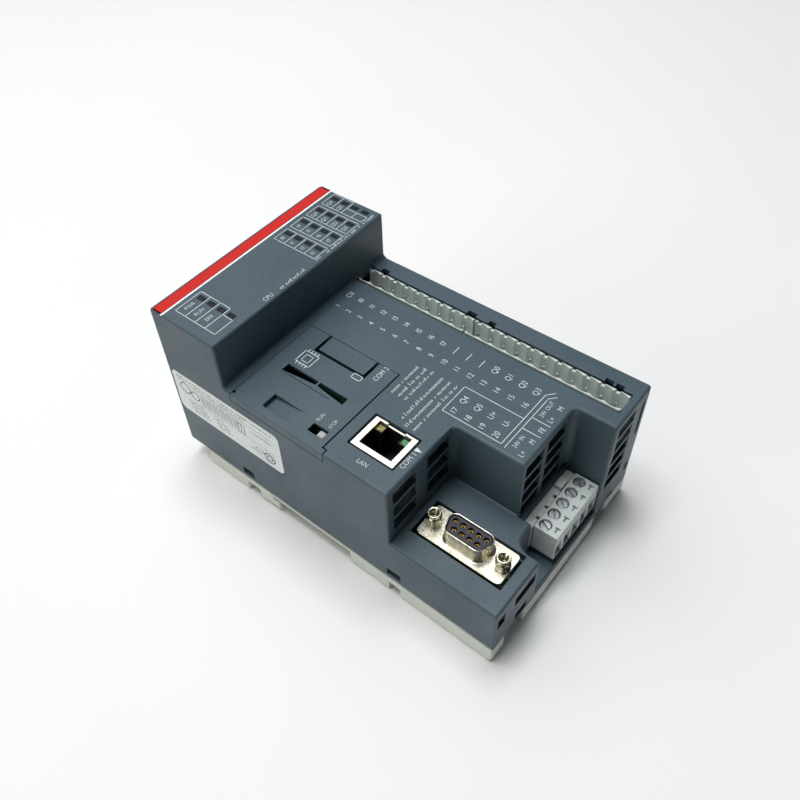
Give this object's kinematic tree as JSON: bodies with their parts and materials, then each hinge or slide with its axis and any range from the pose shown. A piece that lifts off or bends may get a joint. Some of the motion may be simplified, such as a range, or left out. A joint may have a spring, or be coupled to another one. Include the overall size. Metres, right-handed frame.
{
  "type": "plc module",
  "caption": "Compact industrial controller for a DIN rail, with a tall indicator block, network jack, serial socket, pluggable power terminal and a long terminal header strip.",
  "frame": {"origin": "under the middle of the module's box, on the surface that its back lies on", "axes": "+X to the module's right side, +Y to its top end as it hangs on the rail, +Z out of its front face"},
  "size_m": [0.082, 0.135, 0.074],
  "materials": {
    "shell_plastic": "fine moulded texture",
    "base_plastic": "fine moulded texture",
    "terminal_plastic": "satin",
    "red_trim": "satin",
    "label_film": "satin printed film",
    "smoked_lens": "smooth",
    "black_plastic": "matte",
    "white_plastic": "satin",
    "steel": "zinc plated",
    "tinned_metal": "tin plated",
    "nickel": "bright plated",
    "bright_metal": "bright plated sheet",
    "gold_contacts": "gold plated",
    "yellow_lens": "translucent, unlit",
    "green_lens": "translucent, unlit",
    "circuit_board": "solder mask",
    "capacitor_sleeve": "shrink sleeve",
    "copper_winding": "enamelled wire"
  },
  "bodies": {
    "housing": {"front_housing": "shell_plastic", "stripe_insert": "red_trim", "rating_label": "label_film", "status_light_pipe": "smoked_lens", "signal_light_pipe_1": "smoked_lens", "signal_light_pipe_2": "smoked_lens", "signal_light_pipe_3": "smoked_lens", "signal_light_pipe_4": "smoked_lens", "mode_switch_body": "black_plastic", "card_socket": "black_plastic", "option_socket": "black_plastic", "base_plate": "base_plastic", "latch_spring": "steel", "io_header_9_pole": "terminal_plastic", "io_header_11_pole": "terminal_plastic", "power_header": "terminal_plastic", "dsub_shell": "nickel", "dsub_insulator": "black_plastic", "dsub_jackscrew_1": "nickel", "dsub_jackscrew_2": "nickel", "ethernet_shield": "bright_metal", "ethernet_insert": "black_plastic", "ethernet_contacts": "gold_contacts", "ethernet_light_yellow": "yellow_lens", "ethernet_light_green": "green_lens", "bus_socket": "black_plastic", "lower_board": "circuit_board", "upper_board": "circuit_board", "display_board": "circuit_board", "display_link": "black_plastic", "board_link_left": "black_plastic", "board_link_right": "black_plastic", "capacitor_1": "capacitor_sleeve", "capacitor_2": "capacitor_sleeve", "power_inductor": "copper_winding", "power_transformer": "black_plastic", "processor_chip": "black_plastic", "ethernet_magnetics": "black_plastic"},
    "mode_switch": {"mode_switch_slider": "white_plastic"},
    "rail_latch": {"din_latch": "base_plastic"},
    "cover": {"option_cover": "shell_plastic"},
    "lid": {"com2_lid": "shell_plastic"},
    "power_plug": {"power_plug_body": "terminal_plastic"},
    "plug_screw_1": {"power_plug_screw_1": "steel"},
    "plug_screw_2": {"power_plug_screw_2": "steel"},
    "plug_screw_3": {"power_plug_screw_3": "steel"},
    "plug_screw_4": {"power_plug_screw_4": "steel"},
    "plug_screw_5": {"power_plug_screw_5": "steel"},
    "plug_clamp_1": {"power_plug_clamp_1": "tinned_metal"},
    "plug_clamp_2": {"power_plug_clamp_2": "tinned_metal"},
    "plug_clamp_3": {"power_plug_clamp_3": "tinned_metal"},
    "plug_clamp_4": {"power_plug_clamp_4": "tinned_metal"},
    "plug_clamp_5": {"power_plug_clamp_5": "tinned_metal"}
  },
  "joints": [
    {"name": "mode_switch_slide", "type": "slide", "parent": "housing", "child": "mode_switch", "axis": [0, 1, 0], "range_m": [0, 0.0026]},
    {"name": "rail_latch_pull", "type": "slide", "parent": "housing", "child": "rail_latch", "axis": [0, -1, 0], "range_m": [0, 0.004], "stiffness_N_per_m": 400, "springref_m": -0.002, "deforming": ["latch_spring"]},
    {"name": "option_cover_lift", "type": "slide", "parent": "housing", "child": "cover", "axis": [0, 0, 1], "range_m": [0, 0.012]},
    {"name": "com2_lid_flap", "type": "hinge", "parent": "housing", "child": "lid", "pos_m": [-0.0022, 0.01585, 0.055], "axis": [0, 1, 0], "range_deg": [0, 100]},
    {"name": "power_plug_pull", "type": "slide", "parent": "housing", "child": "power_plug", "axis": [0, -1, 0], "range_m": [0, 0.01]},
    {"name": "plug_screw_1_turn", "type": "hinge", "parent": "power_plug", "child": "plug_screw_1", "pos_m": [-0.00396, -0.061, 0.02], "axis": [0, 0, -1], "range_deg": [0, 1440]},
    {"name": "plug_screw_2_turn", "type": "hinge", "parent": "power_plug", "child": "plug_screw_2", "pos_m": [0.00112, -0.061, 0.02], "axis": [0, 0, -1], "range_deg": [0, 1440]},
    {"name": "plug_screw_3_turn", "type": "hinge", "parent": "power_plug", "child": "plug_screw_3", "pos_m": [0.0062, -0.061, 0.02], "axis": [0, 0, -1], "range_deg": [0, 1440]},
    {"name": "plug_screw_4_turn", "type": "hinge", "parent": "power_plug", "child": "plug_screw_4", "pos_m": [0.01128, -0.061, 0.02], "axis": [0, 0, -1], "range_deg": [0, 1440]},
    {"name": "plug_screw_5_turn", "type": "hinge", "parent": "power_plug", "child": "plug_screw_5", "pos_m": [0.01636, -0.061, 0.02], "axis": [0, 0, -1], "range_deg": [0, 1440]},
    {"name": "plug_clamp_1_lift", "type": "slide", "parent": "power_plug", "child": "plug_clamp_1", "axis": [0, 0, 1], "range_m": [0, 0.002]},
    {"name": "plug_clamp_2_lift", "type": "slide", "parent": "power_plug", "child": "plug_clamp_2", "axis": [0, 0, 1], "range_m": [0, 0.002]},
    {"name": "plug_clamp_3_lift", "type": "slide", "parent": "power_plug", "child": "plug_clamp_3", "axis": [0, 0, 1], "range_m": [0, 0.002]},
    {"name": "plug_clamp_4_lift", "type": "slide", "parent": "power_plug", "child": "plug_clamp_4", "axis": [0, 0, 1], "range_m": [0, 0.002]},
    {"name": "plug_clamp_5_lift", "type": "slide", "parent": "power_plug", "child": "plug_clamp_5", "axis": [0, 0, 1], "range_m": [0, 0.002]}
  ],
  "couplings": [
    {"joint": "plug_screw_1_turn", "follows": "plug_clamp_1_lift", "rad_per_m": 12566},
    {"joint": "plug_screw_2_turn", "follows": "plug_clamp_2_lift", "rad_per_m": 12566},
    {"joint": "plug_screw_3_turn", "follows": "plug_clamp_3_lift", "rad_per_m": 12566},
    {"joint": "plug_screw_4_turn", "follows": "plug_clamp_4_lift", "rad_per_m": 12566},
    {"joint": "plug_screw_5_turn", "follows": "plug_clamp_5_lift", "rad_per_m": 12566}
  ]
}
